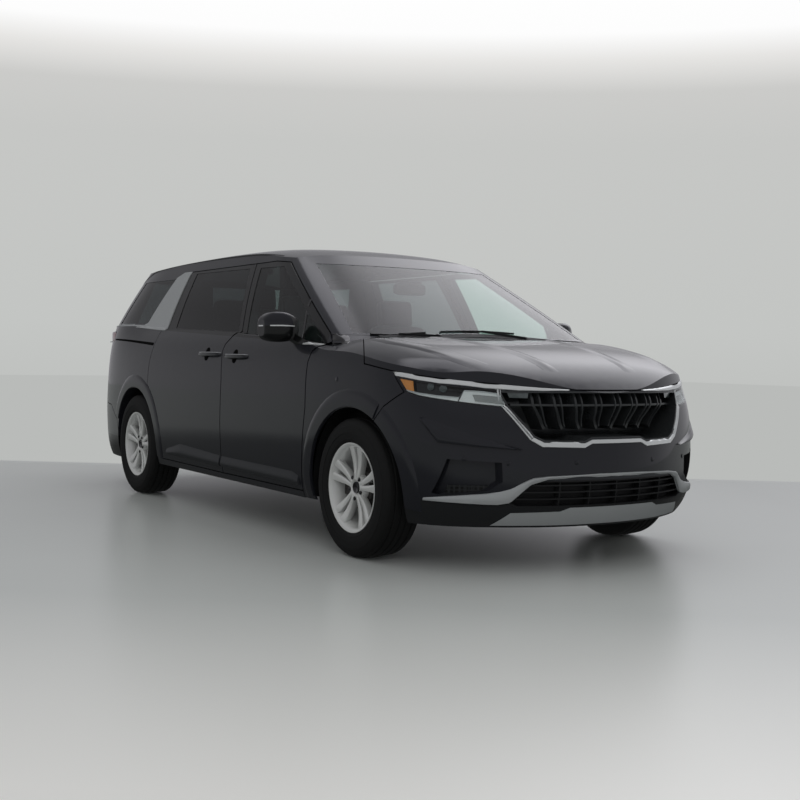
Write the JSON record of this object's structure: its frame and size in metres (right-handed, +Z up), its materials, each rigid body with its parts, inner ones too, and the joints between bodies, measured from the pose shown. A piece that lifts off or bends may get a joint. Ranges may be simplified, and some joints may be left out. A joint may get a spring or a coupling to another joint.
{
  "type": "minivan",
  "caption": "Long dark grey minivan with hinged front doors, sliding rear doors, lifting tailgate and hood, steered front wheels and a wide barred grille.",
  "frame": {"origin": "on the ground below the middle of the length and width", "axes": "+X to the nose, +Y to the vehicle's left, +Z up"},
  "size_m": [5.1552, 2.24, 1.7399],
  "materials": {
    "body_paint": "metallic gloss",
    "privacy_glass": "tinted",
    "clear_glass": "clear with a light tint",
    "lamp_lens": "clear",
    "red_lens": "clear red",
    "silver_plastic": "satin",
    "black_plastic": "grained",
    "gloss_black": "gloss",
    "chassis_paint": "satin",
    "iron": "rough",
    "steel": "brushed",
    "seat_fabric": "woven",
    "tyre": "matt",
    "alloy": "painted silver"
  },
  "bodies": {
    "body": {"body_shell": "body_paint", "quarter_glass": "privacy_glass", "windscreen": "clear_glass", "sliding_doors": "body_paint", "sliding_door_glass": "privacy_glass", "fenders": "body_paint", "headlamps": "lamp_lens", "front_bumper": "body_paint", "skid_plate": "silver_plastic", "lower_grille": "black_plastic", "grille": "gloss_black", "rear_bumper": "body_paint", "floor_pan": "chassis_paint", "cowl": "black_plastic", "front_suspension": "chassis_paint", "rear_axle": "chassis_paint", "engine_block": "iron", "fuel_tank": "black_plastic", "exhaust": "steel", "front_seats": "seat_fabric", "rear_seats": "seat_fabric", "dashboard": "black_plastic", "headlamp_housings": "black_plastic", "tail_lamps": "red_lens"},
    "front_door_left": {"front_door_left": "body_paint", "front_door_glass_left": "clear_glass", "mirror_left": "body_paint"},
    "front_door_right": {"front_door_right": "body_paint", "front_door_glass_right": "clear_glass", "mirror_right": "body_paint"},
    "hood": {"hood": "body_paint"},
    "tailgate": {"tailgate": "body_paint", "tailgate_glass": "privacy_glass", "tailgate_lamp": "red_lens"},
    "knuckle_left": {"knuckle_left": "iron"},
    "knuckle_right": {"knuckle_right": "iron"},
    "steering_wheel": {"steering_wheel": "black_plastic"},
    "wheel_front_left": {"tyre_front_left": "tyre", "rim_front_left": "alloy"},
    "wheel_front_right": {"tyre_front_right": "tyre", "rim_front_right": "alloy"},
    "wheel_rear_left": {"tyre_rear_left": "tyre", "rim_rear_left": "alloy"},
    "wheel_rear_right": {"tyre_rear_right": "tyre", "rim_rear_right": "alloy"}
  },
  "joints": [
    {"name": "front_door_left_hinge", "type": "hinge", "parent": "body", "child": "front_door_left", "pos_m": [1.04, 0.966, 0.62], "axis": [0, 0, -1], "range_deg": [0, 65]},
    {"name": "front_door_right_hinge", "type": "hinge", "parent": "body", "child": "front_door_right", "pos_m": [1.04, -0.966, 0.62], "axis": [0, 0, 1], "range_deg": [0, 65]},
    {"name": "hood_hinge", "type": "hinge", "parent": "body", "child": "hood", "pos_m": [1.575, 0, 1.106], "axis": [0, -1, 0], "range_deg": [0, 50]},
    {"name": "tailgate_hinge", "type": "hinge", "parent": "body", "child": "tailgate", "pos_m": [-2.162, 0, 1.664], "axis": [0, 1, 0], "range_deg": [0, 80]},
    {"name": "steer_left", "type": "hinge", "parent": "body", "child": "knuckle_left", "pos_m": [1.6425, 0.8225, 0.361], "axis": [0, 0, 1], "range_deg": [-35, 35]},
    {"name": "steer_right", "type": "hinge", "parent": "body", "child": "knuckle_right", "pos_m": [1.6425, -0.8225, 0.361], "axis": [0, 0, 1], "range_deg": [-35, 35]},
    {"name": "steering_wheel_turn", "type": "hinge", "parent": "body", "child": "steering_wheel", "pos_m": [0.69, 0.38, 0.93], "axis": [-0.9135, 0, 0.4067], "range_deg": [-525, 525]},
    {"name": "wheel_front_left_spin", "type": "hinge", "parent": "knuckle_left", "child": "wheel_front_left", "pos_m": [1.6425, 0.8675, 0.361], "axis": [0, 1, 0], "continuous": true},
    {"name": "wheel_front_right_spin", "type": "hinge", "parent": "knuckle_right", "child": "wheel_front_right", "pos_m": [1.6425, -0.8675, 0.361], "axis": [0, 1, 0], "continuous": true},
    {"name": "wheel_rear_left_spin", "type": "hinge", "parent": "body", "child": "wheel_rear_left", "pos_m": [-1.4475, 0.8675, 0.361], "axis": [0, 1, 0], "continuous": true},
    {"name": "wheel_rear_right_spin", "type": "hinge", "parent": "body", "child": "wheel_rear_right", "pos_m": [-1.4475, -0.8675, 0.361], "axis": [0, 1, 0], "continuous": true}
  ],
  "couplings": [
    {"joint": "steer_right", "follows": "steer_left", "ratio": 1},
    {"joint": "steering_wheel_turn", "follows": "steer_left", "ratio": 15}
  ]
}
